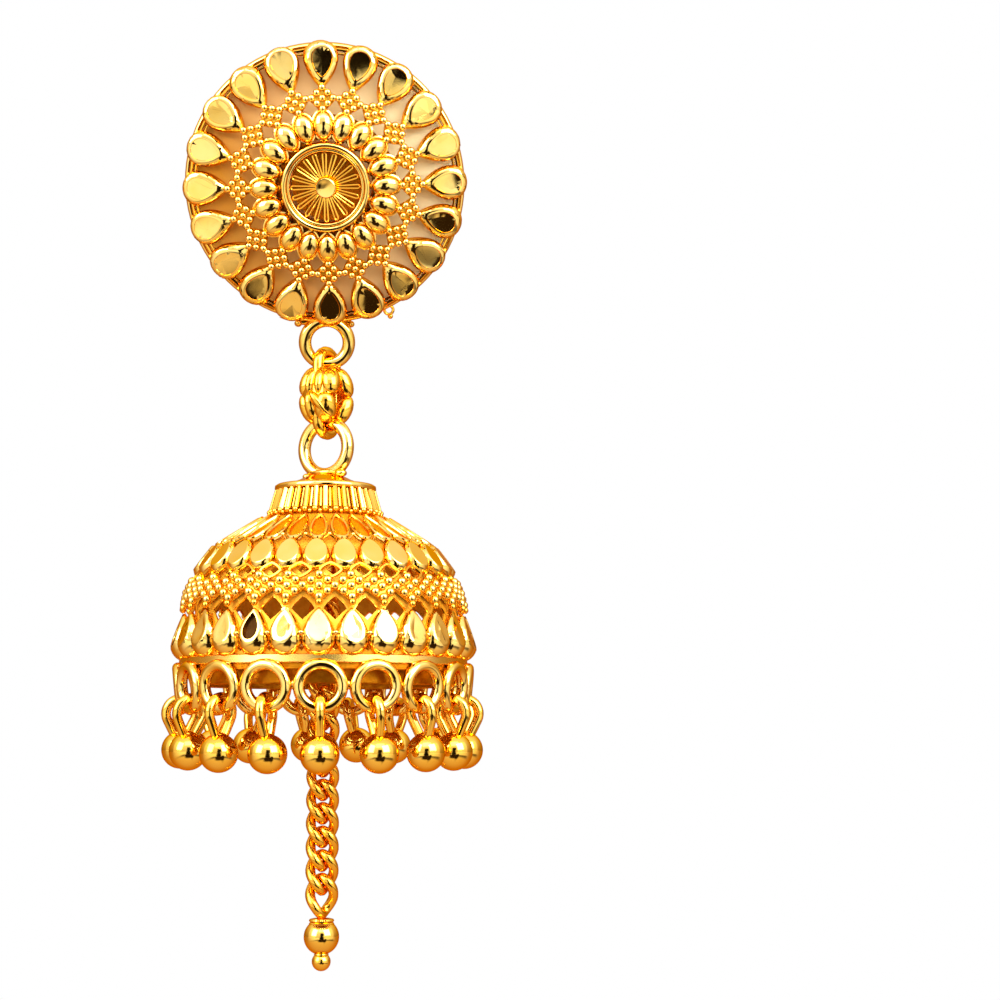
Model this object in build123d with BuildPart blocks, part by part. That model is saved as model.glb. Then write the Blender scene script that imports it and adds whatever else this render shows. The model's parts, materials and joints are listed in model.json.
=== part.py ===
from build123d import *
from math import asin, cos, radians, sin, sqrt
import os

# A jhumka earring: a domed openwork stud, a slotted bead link, and a pierced bell with
# seventeen ball drops round its rim and a chain down its middle. Millimetres, +Z up, the
# face towards -Y. The origin is where the ear post leaves the back of the stud.

# ---------------------------------------------------------------- driving dimensions
# stud, heights are above the back of its plate
lean = 20.0  # degrees that the top of the face tips forward under the bell's weight
rim_radius, rim_wall, rim_height = 11.6, 0.5, 1.8
plate_thickness = 0.5
cell_count = 20  # pear cells, lattice holes and spokes round the face
cell_tip, cell_end, cell_width = -2.0, 1.75, 2.3  # along the cell from its middle
cell_radius, cell_height, cell_depth, cell_slope = 10.1, 2.2, 1.5, 12.0
cell_bevel = 0.3
lattice_inner, lattice_outer, lattice_floor, lattice_crown = 5.9, 8.8, 1.6, 2.9
lattice_hole, lattice_hole_radius = 0.75, 6.6
petal_inner, petal_floor, petal_crown = 3.6, 2.1, 3.5
bezel_inner, bezel_outer, bezel_floor, bezel_crown = 3.2, 4.1, 2.4, 4.3
floor_bottom, floor_top = 2.7, 3.2
spoke_width, spoke_crown, spoke_start, spoke_end = 0.25, 3.5, 1.0, 3.0
boss_radius, boss_crown = 0.9, 4.4

# ring under the stud, measured on the stud's own plane
hanger_radius, hanger_wire = 1.9, 0.56  # centre line and half the wire
hanger_drop, hanger_height = 13.9, 1.0  # down from the stud's centre, and above its back
hanger_bar_length, hanger_bar_thick = 5.0, 0.7
post_radius, post_length = 0.45, 10.0
post_root_radius, post_head_radius, post_head_thick, post_gap = 0.9, 1.5, 0.35, 0.05

# slotted bead link, heights from the middle of the wire that it hangs on
link_turn = 35.0  # degrees that the slot is turned from the line of the stud's ring
link_wire = 0.35  # half the thickness of the eye at each end
slot_half, wire_proud = 0.95, 0.12
eye_rise = 0.97  # middle of the top eye's wire above the ring wire
foot_drop = 6.1  # middle of the foot's wire below the ring wire
bead_top, bead_groove, bead_bottom = -0.35, -2.8, -5.3
bead_radius, bead_groove_radius, bead_end_radius = 2.4, 2.1, 0.9
ring_clearance = 0.22

# bell, heights are absolute
bell_ring_radius, bell_ring_wire = 2.27, 0.56
cap_crown, cap_edge, cap_foot = -24.7, -26.1, -26.6
cap_crown_radius, cap_edge_radius, cap_wall = 1.6, 4.5, 0.9
collar_top_radius, collar_foot_radius, collar_foot = 4.3, 4.95, -28.5
wall = 0.8
shoulder = (8.75, -30.55)  # radius and height of points on the bell's outer line
waist = (11.35, -33.7)
belly = (12.35, -36.4)
hip = (13.0, -39.6)
band_radius, band_top, band_foot, band_wall = 12.75, -40.8, -41.6, 0.75
cell_rows = (  # columns: height, radius there, side of the diamond opening
    (-33.95, 11.4, 0.55),
    (-37.05, 12.5, 0.85),
    (-40.05, 13.0, 0.60),
)
bell_cell_count = 28
chain_eye_radius, chain_eye_wire, chain_eye_height = 0.9, 0.32, -26.65

# rings, ball drops and chain
drop_count = 17
rim_ring_circle, rim_ring_radius, rim_ring_wire = 12.4, 1.7, 0.4
rim_ring_height = -43.45
drop_circle, loop_radius, loop_wire, loop_gap = 12.2, 1.2, 0.33, 0.05
loop_sink = 0.55  # height above the ball's middle at which a loop's two legs would meet
ball_radius, ball_height = 1.62, -48.8
chain_radius, chain_top, chain_foot = 1.3, -27.95, -62.65
end_collar_radius, end_collar_top, end_collar_foot = 1.1, -62.7, -63.3
end_ball_radius, end_ball_height = 1.5, -64.25
end_tip_radius, end_tip_height, end_neck_radius = 0.8, -66.3, 0.5

# ---------------------------------------------------------------- planes and points
stud_plane = Plane(
    origin=(0, 0, 0),
    x_dir=(1, 0, 0),
    z_dir=(0, -cos(radians(lean)), -sin(radians(lean))),
)  # local x to the right, y up the face, z out of the face
hang = stud_plane.from_local_coords(Vector(0, -hanger_drop - hanger_radius, hanger_height))
slot_way = Vector(cos(radians(link_turn)), -sin(radians(link_turn)), 0)
limb_way = Vector(sin(radians(link_turn)), cos(radians(link_turn)), 0)
link_plane = Plane(origin=hang, x_dir=limb_way, z_dir=slot_way)  # local y is up
foot_height = hang.Z - foot_drop
bell_ring_top = foot_height + link_wire + loop_gap + bell_ring_wire
bell_ring_plane = Plane(
    origin=(0, hang.Y, bell_ring_top - bell_ring_radius), x_dir=slot_way, z_dir=limb_way
)
bell_axis = Axis((0, hang.Y, 0), (0, 0, 1))
bell_profile = Plane(origin=(0, hang.Y, 0), x_dir=(1, 0, 0), z_dir=(0, -1, 0))
print("hang point", hang, "bell ring top", bell_ring_top)


def outward_plane(turn, radius, height):
    """A plane on the bell that looks outwards: x along the rim, y up, z out."""
    out = Vector(sin(radians(turn)), -cos(radians(turn)), 0)
    along = Vector(cos(radians(turn)), sin(radians(turn)), 0)
    return Plane(origin=bell_axis.position + out * radius + Vector(0, 0, height),
                 x_dir=along, z_dir=out)


def side_plane(turn, radius, height):
    """A plane that holds the bell's axis: x out of the bell, y up."""
    out = Vector(sin(radians(turn)), -cos(radians(turn)), 0)
    along = Vector(cos(radians(turn)), sin(radians(turn)), 0)
    return Plane(origin=bell_axis.position + out * radius + Vector(0, 0, height),
                 x_dir=out, z_dir=-along)


def save(piece, name):
    """Labels a finished piece and writes it as its own STEP file."""
    piece.part.label = name
    export_step(piece.part, f"parts/{name}.step")
    print(name, "solids", len(piece.part.solids()), "volume", round(piece.part.volume, 2))


def disc(plane, height, thick, outer, inner=0.0):
    """A flat disc or washer on a plane, added to the part that is being built."""
    with BuildSketch(plane.offset(height)) as washer:
        Circle(outer)
        if inner:
            Circle(inner, mode=Mode.SUBTRACT)
    extrude(washer.sketch, amount=thick)


os.makedirs("parts", exist_ok=True)

# ---------------------------------------------------------------- stud
# one pear cell, lying flat with its round end along +Y, then set on the slope of the dome
end_radius = cell_width / 2
end_middle = cell_end - end_radius
tangent = asin(end_radius / (end_middle - cell_tip))
right_cheek = (end_radius * cos(tangent), end_middle - end_radius * sin(tangent))
left_cheek = (-right_cheek[0], right_cheek[1])
cell_plane = Plane(
    origin=(0, cell_radius, cell_height),
    x_dir=(1, 0, 0),
    z_dir=(0, sin(radians(cell_slope)), cos(radians(cell_slope))),
)
with BuildPart() as pear_cell:
    with BuildSketch(cell_plane):
        with BuildLine():
            Line((0, cell_tip), right_cheek)
            ThreePointArc(right_cheek, (0, cell_end), left_cheek)
            Line(left_cheek, (0, cell_tip))
        make_face()
    extrude(amount=-cell_depth)
    chamfer(pear_cell.faces().sort_by(Axis.Z)[-1].edges(), cell_bevel)

with BuildPart() as stud_disc:
    disc(stud_plane, 0, plate_thickness, rim_radius - rim_wall / 2)
    disc(stud_plane, 0, rim_height, rim_radius, rim_radius - rim_wall)
    disc(stud_plane, lattice_floor, lattice_crown - lattice_floor, lattice_outer, lattice_inner)
    disc(stud_plane, petal_floor, petal_crown - petal_floor, lattice_inner + 0.3, petal_inner)
    disc(stud_plane, bezel_floor, bezel_crown - bezel_floor, bezel_outer, bezel_inner)
    disc(stud_plane, floor_bottom, floor_top - floor_bottom, bezel_inner + 0.2)
    disc(stud_plane, floor_top, boss_crown - floor_top, boss_radius)
    # diamond openings of the lattice
    with BuildSketch(stud_plane.offset(lattice_floor)):
        with PolarLocations(lattice_hole_radius, cell_count, start_angle=90 + 180 / cell_count):
            Rectangle(lattice_hole, lattice_hole, rotation=45)
    extrude(amount=lattice_crown, mode=Mode.SUBTRACT)
    # spokes of the rosette in the middle
    with BuildSketch(stud_plane.offset(floor_top)):
        with PolarLocations((spoke_start + spoke_end) / 2, cell_count):
            Rectangle(spoke_end - spoke_start, spoke_width)
    extrude(amount=spoke_crown - floor_top)
    # pear cells round the rim
    with Locations(stud_plane.location):
        with PolarLocations(0, cell_count, start_angle=0):
            add(pear_cell.part)
    # ring under the stud and the bar that it is soldered to
    with Locations(stud_plane.location * Location((0, -hanger_drop, hanger_height))):
        Torus(hanger_radius, hanger_wire)
    with Locations(stud_plane.location
                   * Location((0, -rim_radius, hanger_bar_thick / 2))):
        Box(hanger_bar_length, 2 * hanger_bar_thick, hanger_bar_thick)
    # bore for the ear post
    with BuildSketch(stud_plane):
        Circle(post_root_radius + post_gap)
    extrude(amount=plate_thickness, mode=Mode.SUBTRACT)
save(stud_disc, "stud_disc")

with BuildPart() as ear_post:
    disc(stud_plane, -post_length, post_length, post_radius)
    disc(stud_plane, 0, plate_thickness + post_gap, post_root_radius)
    disc(stud_plane, plate_thickness + post_gap, post_head_thick, post_head_radius)
    fillet(ear_post.edges().sort_by(Axis((0, 0, 0), stud_plane.z_dir))[0], post_radius * 0.6)
save(ear_post, "ear_post")

# ---------------------------------------------------------------- connector link
with BuildPart() as connector_link:
    # lobed bead, two rounded halves with a groove round the middle
    with BuildSketch(Plane(origin=hang, x_dir=(1, 0, 0), z_dir=(0, -1, 0))):
        with BuildLine():
            Line((0, bead_bottom), (0, bead_top))
            Line((0, bead_top), (bead_end_radius, bead_top))
            ThreePointArc(
                (bead_end_radius, bead_top),
                (bead_radius * 0.93, (bead_top + bead_groove) / 2),
                (bead_groove_radius, bead_groove),
            )
            ThreePointArc(
                (bead_groove_radius, bead_groove),
                (bead_radius * 0.93, (bead_bottom + bead_groove) / 2),
                (bead_end_radius, bead_bottom),
            )
            Line((bead_end_radius, bead_bottom), (0, bead_bottom))
        make_face()
    revolve(axis=bell_axis)
    # the slot that both rings pass through; the wire stands a little proud of its walls
    slot_wall = link_wire - wire_proud
    with BuildSketch(link_plane.offset(-2 * bead_radius)):
        with Locations((0, (eye_rise - foot_drop) / 2)):
            SlotOverall(
                eye_rise + foot_drop - 2 * slot_wall, 2 * (slot_half + wire_proud), rotation=90
            )
    extrude(amount=4 * bead_radius, mode=Mode.SUBTRACT)
    # round wire all round the slot: eye at the top, foot at the bottom
    limb = slot_half + link_wire
    with BuildLine(link_plane) as wire_path:
        Line((limb, limb - foot_drop), (limb, eye_rise - limb))
        ThreePointArc((limb, eye_rise - limb), (0, eye_rise), (-limb, eye_rise - limb))
        Line((-limb, eye_rise - limb), (-limb, limb - foot_drop))
        ThreePointArc((-limb, limb - foot_drop), (0, -foot_drop), (limb, limb - foot_drop))
    with BuildSketch(Plane(origin=wire_path.line @ 0, z_dir=wire_path.line % 0)):
        Circle(link_wire)
    sweep(path=wire_path.line)
    # room for the stud's ring where it crosses the slot at an angle
    with Locations(stud_plane.location * Location((0, -hanger_drop, hanger_height))):
        Torus(hanger_radius, hanger_wire + ring_clearance, mode=Mode.SUBTRACT)
save(connector_link, "connector_link")

# ---------------------------------------------------------------- bell
with BuildPart() as bell:
    with BuildSketch(bell_profile):
        with BuildLine():
            # outside, from the crown down to the band
            Line((0, cap_crown), (cap_crown_radius, cap_crown))
            Line((cap_crown_radius, cap_crown), (cap_edge_radius, cap_edge))
            Line((cap_edge_radius, cap_edge), (cap_edge_radius, cap_foot))
            Line((cap_edge_radius, cap_foot), (collar_top_radius, cap_foot))
            Line((collar_top_radius, cap_foot), (collar_foot_radius, collar_foot))
            ThreePointArc((collar_foot_radius, collar_foot), shoulder, waist)
            ThreePointArc(waist, belly, hip)
            Line(hip, (band_radius, band_top))
            Line((band_radius, band_top), (band_radius, band_foot))
            # inside, back up to the crown
            Line((band_radius, band_foot), (band_radius - band_wall, band_foot))
            Line((band_radius - band_wall, band_foot), (band_radius - band_wall, band_top))
            Line((band_radius - band_wall, band_top), (hip[0] - wall, hip[1]))
            ThreePointArc(
                (hip[0] - wall, hip[1]), (belly[0] - wall, belly[1]),
                (waist[0] - wall, waist[1] - wall / 2),
            )
            ThreePointArc(
                (waist[0] - wall, waist[1] - wall / 2),
                (shoulder[0] - wall * 0.7, shoulder[1] - wall * 0.7),
                (collar_foot_radius - wall, collar_foot - wall),
            )
            Line((collar_foot_radius - wall, collar_foot - wall),
                 (collar_top_radius - wall, cap_foot))
            Line((collar_top_radius - wall, cap_foot), (0, cap_crown - cap_wall))
            Line((0, cap_crown - cap_wall), (0, cap_crown))
        make_face()
    revolve(axis=bell_axis)
    # rows of diamond openings between the cells of the bell
    for height, radius, side in cell_rows:
        planes = [
            outward_plane((step + 0.5) * 360 / bell_cell_count, radius - 2 * wall, height)
            for step in range(bell_cell_count)
        ]
        with BuildSketch(*planes):
            Rectangle(side, side, rotation=45)
        extrude(amount=4 * wall, mode=Mode.SUBTRACT)
    # ring that hangs in the link, with its foot in the cap
    with Locations(bell_ring_plane.location):
        Torus(bell_ring_radius, bell_ring_wire)
    # eye for the chain, under the cap
    with Locations(side_plane(0, 0, chain_eye_height).location):
        Torus(chain_eye_radius, chain_eye_wire)
    # rings under the band
    ring_places = [
        outward_plane(step * 360 / drop_count, rim_ring_circle, rim_ring_height).location
        for step in range(drop_count)
    ]
    with Locations(*ring_places):
        Torus(rim_ring_radius, rim_ring_wire)
save(bell, "bell")

# ---------------------------------------------------------------- ball drops
ring_foot = rim_ring_height - rim_ring_radius  # middle of the wire that a drop hangs on
reach = loop_radius - loop_wire - rim_ring_wire - loop_gap
loop_middle = ring_foot - sqrt(reach**2 - (rim_ring_circle - drop_circle) ** 2)
loop_drop = loop_middle - ball_height - loop_sink  # down to where the two legs would meet
leg_turn = asin(loop_radius / loop_drop)
leg_top = (loop_radius * cos(leg_turn), -loop_radius * sin(leg_turn))
leg_short = loop_wire / sin(leg_turn) + loop_gap  # the legs stop this far short of meeting
leg_foot = (leg_short * sin(leg_turn), leg_short * cos(leg_turn) - loop_drop)
with BuildPart() as front_drop:
    with BuildLine(side_plane(0, drop_circle, loop_middle)) as loop_path:
        Line(leg_foot, leg_top)
        ThreePointArc(leg_top, (0, loop_radius), (-leg_top[0], leg_top[1]))
        Line((-leg_top[0], leg_top[1]), (-leg_foot[0], leg_foot[1]))
    with BuildSketch(Plane(origin=loop_path.line @ 0, z_dir=loop_path.line % 0)):
        Circle(loop_wire)
    sweep(path=loop_path.line)
    with Locations(side_plane(0, drop_circle, ball_height).location):
        Sphere(ball_radius)
for number in range(drop_count):
    with BuildPart() as ball_drop:
        add(front_drop.part.rotate(bell_axis, number * 360 / drop_count))
    save(ball_drop, f"ball_drop_{number + 1:02d}")

# ---------------------------------------------------------------- chain and its end
with BuildPart() as drop_chain:
    with BuildSketch(Plane(origin=(0, hang.Y, chain_foot))):
        Circle(chain_radius)
    extrude(amount=chain_top - chain_foot)
save(drop_chain, "drop_chain")

with BuildPart() as chain_end:
    with BuildSketch(Plane(origin=(0, hang.Y, end_collar_foot))):
        Circle(end_collar_radius)
    extrude(amount=end_collar_top - end_collar_foot)
    with BuildSketch(Plane(origin=(0, hang.Y, end_tip_height))):
        Circle(end_neck_radius)
    extrude(amount=end_ball_height - end_tip_height)
    with Locations((0, hang.Y, end_ball_height)):
        Sphere(end_ball_radius)
    with Locations((0, hang.Y, end_tip_height)):
        Sphere(end_tip_radius)
save(chain_end, "chain_end")
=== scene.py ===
# %% [markdown]
# # A jhumka earring in polished gold
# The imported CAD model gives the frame: where every piece sits, what it rides on and how it
# swings. This file gives the looks. It is read from top to bottom, one piece at a time, and
# every shape is worked out in millimetres and shrunk to metres when its piece is finished.

# %% Load the frame
import bpy
import bmesh
import json
import random
from math import asin, atan2, cos, degrees, pi, radians, sin, sqrt, tan
from mathutils import Matrix, Vector


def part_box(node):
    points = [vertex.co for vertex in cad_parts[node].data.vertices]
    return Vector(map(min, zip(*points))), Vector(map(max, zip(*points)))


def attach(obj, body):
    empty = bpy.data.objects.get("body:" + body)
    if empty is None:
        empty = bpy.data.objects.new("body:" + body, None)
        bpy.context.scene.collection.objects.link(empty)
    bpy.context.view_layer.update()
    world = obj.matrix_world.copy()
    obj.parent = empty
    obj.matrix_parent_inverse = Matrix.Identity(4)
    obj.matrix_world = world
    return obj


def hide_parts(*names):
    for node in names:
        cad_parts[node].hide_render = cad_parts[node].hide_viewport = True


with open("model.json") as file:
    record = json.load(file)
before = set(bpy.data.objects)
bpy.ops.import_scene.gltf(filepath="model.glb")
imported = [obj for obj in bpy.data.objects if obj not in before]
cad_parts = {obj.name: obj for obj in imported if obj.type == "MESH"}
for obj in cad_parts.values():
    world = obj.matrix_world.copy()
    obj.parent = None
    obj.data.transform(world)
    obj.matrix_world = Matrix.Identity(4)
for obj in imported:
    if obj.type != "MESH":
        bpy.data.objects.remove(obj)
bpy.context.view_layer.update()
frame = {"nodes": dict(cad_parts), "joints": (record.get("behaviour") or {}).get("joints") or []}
MM = 0.001
joints = {joint["name"]: joint for joint in frame["joints"]}

# %% [markdown]
# ## Points that everything hangs from
# The hinge points of the frame are the middles of the wires that the link and the bell hang
# on, so the whole layout follows from them. The stud leans forward, so it has its own frame:
# x across the face, y up it and z out of it.

# %% Frames for the stud, the link and the bell
LEAN = radians(20.0)
hang = Vector(joints["connector_swing"]["pos_m"]) / MM
foot = Vector(joints["bell_swing"]["pos_m"]) / MM
limb_way = Vector(joints["bell_swing"]["axis"]).normalized()
slot_way = Vector((limb_way.y, -limb_way.x, 0))
STUD = Matrix((
    (1, 0, 0, 0),
    (0, -sin(LEAN), -cos(LEAN), 0),
    (0, cos(LEAN), -sin(LEAN), 0),
    (0, 0, 0, 1),
))
FACE = Matrix.Translation((-0.25, 0, -0.28)) @ STUD  # the disc hangs a little off its ring


def frame_of(x_way, y_way, z_way, origin):
    """A matrix from three directions and a point."""
    columns = Matrix((x_way, y_way, z_way)).transposed().to_4x4()
    return Matrix.Translation(origin) @ columns


def turned(angle, axis):
    """A turn by degrees about X, Y or Z."""
    return Matrix.Rotation(radians(angle), 4, axis)


def moved(x, y, z):
    """A shift, in millimetres."""
    return Matrix.Translation((x, y, z))


def stud_seat(turn, radius, height, tilt=0.0):
    """A place on the stud: x across, y away from its middle, z out of the face."""
    return FACE @ turned(turn, "Z") @ moved(0, radius, height) @ turned(-tilt, "X")


def bell_seat(turn, radius, height, tilt=0.0):
    """A place on the bell: x along the rim, y up the wall, z out of it, tilted to the sky."""
    out = Vector((sin(radians(turn)), -cos(radians(turn)), 0))
    along = Vector((cos(radians(turn)), sin(radians(turn)), 0))
    place = Vector((0, hang.y, height)) + out * radius
    return frame_of(along, Vector((0, 0, 1)), out, place) @ turned(-tilt, "X")


def turns(first, count):
    """The turns, in degrees, of parts that are spaced evenly all the way round."""
    step = 360 / count
    return [first + number * step for number in range(count)]


print("hang point, mm:", hang[:], "link foot, mm:", foot[:])

# %% [markdown]
# ## Small tools for metalwork
# A goldsmith makes this earring from a few kinds of part: wire bent into rings and pears,
# drops stamped from sheet, and granules. Each kind is made once, flat and at the origin, and
# then stamped wherever it is soldered.

# %% Making, stamping and finishing meshes


def taken(bm):
    """Turns a bmesh into a plain mesh that can be stamped again and again."""
    mesh = bpy.data.meshes.new("pattern")
    bm.to_mesh(mesh)
    bm.free()
    return mesh


def stamp(bm, pattern, place):
    """Adds one copy of a pattern at a place."""
    copy = pattern.copy()
    copy.transform(place)
    bm.from_mesh(copy)
    bpy.data.meshes.remove(copy)


def finish_piece(name, bm, body, material, sharp=40.0):
    """Shrinks a shape to metres, smooths it, and sets it on its body."""
    bmesh.ops.recalc_face_normals(bm, faces=bm.faces)
    bmesh.ops.scale(bm, vec=(MM, MM, MM), verts=bm.verts)
    for face in bm.faces:
        face.smooth = len(face.verts) < 6  # a face of many sides is a polished flat
    for edge in bm.edges:
        if len(edge.link_faces) == 2 and edge.calc_face_angle(0.0) > radians(sharp):
            edge.smooth = False
    mesh = taken(bm)
    mesh.name = name
    mesh.materials.append(material)
    piece = bpy.data.objects.new(name, mesh)
    bpy.context.collection.objects.link(piece)
    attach(piece, body)
    triangles = sum(len(face.vertices) - 2 for face in mesh.polygons)
    print(f"{name}: {triangles} triangles")
    return piece


def spin_round(bm, steps):
    """Spins all that is drawn so far once round the z axis."""
    bmesh.ops.spin(bm, geom=bm.verts[:] + bm.edges[:], cent=(0, 0, 0), axis=(0, 0, 1),
                   angle=2 * pi, steps=steps, use_merge=True)
    bmesh.ops.remove_doubles(bm, verts=bm.verts, dist=1e-4)


def ring(bm, radius, thick, place, steps=64, sides=14):
    """A ring of round wire: a small circle spun all the way round."""
    turnery = bmesh.new()
    bmesh.ops.create_circle(turnery, segments=sides, radius=thick,
                            matrix=moved(radius, 0, 0) @ turned(90, "X"))
    spin_round(turnery, steps)
    stamp(bm, taken(turnery), place)


def lathe(bm, outline, place, steps=96):
    """Spins an outline of (radius, height) points; one that starts off the axis is closed."""
    turnery = bmesh.new()
    corners = [turnery.verts.new((radius, 0, height)) for radius, height in outline]
    for pair in zip(corners, corners[1:]):
        turnery.edges.new(pair)
    if outline[0][0] > 0:
        turnery.edges.new((corners[-1], corners[0]))
    spin_round(turnery, steps)
    stamp(bm, taken(turnery), place)


def ball(bm, size, place, around=16, rows=10):
    """A round or stretched ball; size is one radius or three."""
    radii = (size,) * 3 if isinstance(size, (int, float)) else size
    stretch = Matrix.Diagonal((*radii, 1))
    bmesh.ops.create_uvsphere(bm, u_segments=around, v_segments=rows, radius=1,
                              matrix=place @ stretch)


def granule(bm, radius, place):
    """A granule: few faces, because there are hundreds of them."""
    bmesh.ops.create_icosphere(bm, subdivisions=2, radius=radius, matrix=place)


def rod(bm, start, end, radius, sides=8):
    """A straight piece of wire between two points."""
    start, end = Vector(start), Vector(end)
    way = end - start
    place = Matrix.Translation((start + end) / 2) @ way.to_track_quat("Z", "Y").to_matrix().to_4x4()
    bmesh.ops.create_cone(bm, cap_ends=True, segments=sides, radius1=radius, radius2=radius,
                          depth=way.length, matrix=place)


def wire(points, radius, closed=True, roundness=2):
    """A mesh of round wire bent along points."""
    curve = bpy.data.curves.new("wire", "CURVE")
    curve.dimensions = "3D"
    spline = curve.splines.new("POLY")
    spline.points.add(len(points) - 1)
    for knot, point in zip(spline.points, points):
        knot.co = (*point, 1)
    spline.use_cyclic_u = closed
    curve.bevel_depth = radius
    curve.bevel_resolution = roundness
    curve.use_fill_caps = True
    holder = bpy.data.objects.new("wire", curve)
    mesh = bpy.data.meshes.new_from_object(holder)
    bpy.data.objects.remove(holder)
    bpy.data.curves.remove(curve)
    return mesh


def pear_swell(point):
    """The widest half width of a bare pear, which sets it to size."""
    return 2 * ((point + 1) / (point + 2)) ** ((point + 1) / 2) / sqrt(point + 2)


def pear_wire(width, length, point, thick, steps):
    """A wire bent into a pear, tip up. A higher point number gives a sharper tip."""
    outline = []
    for angle in turns(0, steps):
        a = radians(angle)
        swell = sin(a) * sin(a / 2) ** point / pear_swell(point)
        outline.append((width / 2 * swell, length / 2 * cos(a), 0))
    return wire(outline, thick)


def lozenge(width, height, thick):
    """A wire bent into a diamond with rounded corners."""
    outline = []
    for angle in turns(0, 28):
        x, y = cos(radians(angle)), sin(radians(angle))
        outline.append((width / 2 * x * abs(x) ** 0.5, height / 2 * y * abs(y) ** 0.5, 0))
    return wire(outline, thick, roundness=1)


def pear_body(bm, width, length, point, depth, below, around=28, rows=18):
    """A closed pear-shaped dome about z = 0, tip up, with its own depth above and below."""
    bmesh.ops.create_uvsphere(bm, u_segments=around, v_segments=rows, radius=1,
                              matrix=turned(90, "X"))
    for vert in bm.verts:
        narrow = max((1 - vert.co.y) / 2, 0) ** (point / 2) / pear_swell(point)
        vert.co.x *= width / 2 * narrow
        vert.co.y *= length / 2
        vert.co.z *= (depth if vert.co.z > 0 else below) * sqrt(narrow)


def pear_drop(width, length, point, depth, cut, tilt=0.0, below=0.0, lip=0.07, rim=0.0,
              sink=0.0, dish=0.0, crook=0.0, draw=None):
    """A stamped drop: a pear-shaped dome whose top is cut flat and polished.

    A rim leaves a narrow border round the cut, and what lies inside it is sunk. A dish hollows
    the cut and a crook turns it by a few degrees, both by the draw of a random hand.
    """
    bm = bmesh.new()
    pear_body(bm, width, length, point, depth, below or depth)
    lean, twist = (draw.uniform(-crook, crook) for _ in range(2)) if crook else (0, 0)
    up = turned(-tilt - lean, "X") @ turned(twist, "Y") @ Vector((0, 0, 1))
    shape = bm.verts[:] + bm.edges[:] + bm.faces[:]
    sliced = bmesh.ops.bisect_plane(bm, geom=shape, plane_co=up * cut, plane_no=up,
                                    clear_outer=True)["geom_cut"]
    edges = [item for item in sliced if isinstance(item, bmesh.types.BMEdge)]
    bmesh.ops.edgeloop_fill(bm, edges=edges)
    bmesh.ops.bevel(bm, geom=edges, offset=lip, segments=3, profile=0.5, affect="EDGES",
                    material=-1)
    if rim:
        facet = max(bm.faces, key=lambda face: len(face.verts))
        bmesh.ops.inset_region(bm, faces=[facet], thickness=rim, depth=0.0)
        bmesh.ops.inset_region(bm, faces=[facet], thickness=0.03, depth=-sink)
    if dish:
        facet = max(bm.faces, key=lambda face: len(face.verts))
        bmesh.ops.inset_region(bm, faces=[facet], thickness=width * 0.12, depth=0.0)
        ring_verts = facet.verts[:]
        middle = bmesh.ops.poke(bm, faces=[facet])["verts"]
        across, along = draw.uniform(-1, 1), draw.uniform(-1, 1)
        for vert in middle:
            vert.co += Vector((across * width * 0.15, along * length * 0.1, 0)) - up * dish
        for vert in ring_verts:
            uneven = across * vert.co.x / width + along * vert.co.y / length
            vert.co -= up * dish * (0.7 + 0.6 * uneven)
    return taken(bm)


# %% [markdown]
# ## Gold
# Polished gold is a metal whose colour is its reflection: pale where it sees a lamp, deep
# orange where it sees other gold. So the colour stays close to one tone, and the life comes
# from a slight unevenness of the polish and faint hammering. Two tones are painted light: a
# deep orange towards grazing edges, a painted reflection of the gold round about, and a
# darker, warmer tone in hollows that the polishing wheel can't reach, which is painted shade.
# Shader maths is written as plain expressions.

# %% Shader sockets that can be added and multiplied


class Value:
    """One output socket, so that a + b, 1 - a and a * b add their Math nodes."""

    def __init__(self, tree, socket):
        self.tree = tree
        self.socket = socket

    def math(self, operation, first, second=None):
        """Adds a Math node and returns its result."""
        made = self.tree.nodes.new("ShaderNodeMath")
        made.operation = operation
        for slot, item in enumerate((first, second)):
            if isinstance(item, Value):
                self.tree.links.new(item.socket, made.inputs[slot])
            elif item is not None:
                made.inputs[slot].default_value = item
        return Value(self.tree, made.outputs[0])

    def __add__(self, other):
        return self.math("ADD", self, other)

    def __radd__(self, other):
        return self.math("ADD", other, self)

    def __sub__(self, other):
        return self.math("SUBTRACT", self, other)

    def __rsub__(self, other):
        return self.math("SUBTRACT", other, self)

    def __mul__(self, other):
        return self.math("MULTIPLY", self, other)

    def __rmul__(self, other):
        return self.math("MULTIPLY", other, self)

    def __truediv__(self, other):
        return self.math("DIVIDE", self, other)

    def clamped(self):
        """The value kept between 0 and 1."""
        kept = self.math("MULTIPLY", self, 1.0)
        kept.socket.node.use_clamp = True
        return kept

    def band(self, middle, half, soft):
        """1 within half of the middle, fading to 0 over a soft edge."""
        away = self.math("ABSOLUTE", self - middle)
        return ((half + soft - away) / soft).clamped()


class Recipe:
    """The node tree of one material or world."""

    def __init__(self, holder):
        holder.use_nodes = True
        self.tree = holder.node_tree
        self.tree.nodes.clear()

    def node(self, kind, settings=(), sockets=(), out=0):
        """Adds a node: settings first, then a value or a link for each named socket."""
        made = self.tree.nodes.new("ShaderNode" + kind)
        for key, value in dict(settings).items():
            setattr(made, key, value)
        for key, value in dict(sockets).items():
            if isinstance(value, Value):
                self.tree.links.new(value.socket, made.inputs[key])
            else:
                made.inputs[key].default_value = value
        return Value(self.tree, made.outputs[out] if made.outputs else None)

    def parts(self, vector):
        """The x, y and z of a vector."""
        made = self.tree.nodes.new("ShaderNodeSeparateXYZ")
        self.tree.links.new(vector.socket, made.inputs[0])
        return [Value(self.tree, output) for output in made.outputs]

    def blend(self, amount, first, second):
        """Mixes two colours."""
        mix = self.tree.nodes.new("ShaderNodeMix")
        mix.data_type = "RGBA"
        for slot, item in ((0, amount), (6, first), (7, second)):
            if isinstance(item, Value):
                self.tree.links.new(item.socket, mix.inputs[slot])
            else:
                mix.inputs[slot].default_value = item
        return Value(self.tree, mix.outputs[2])


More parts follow.
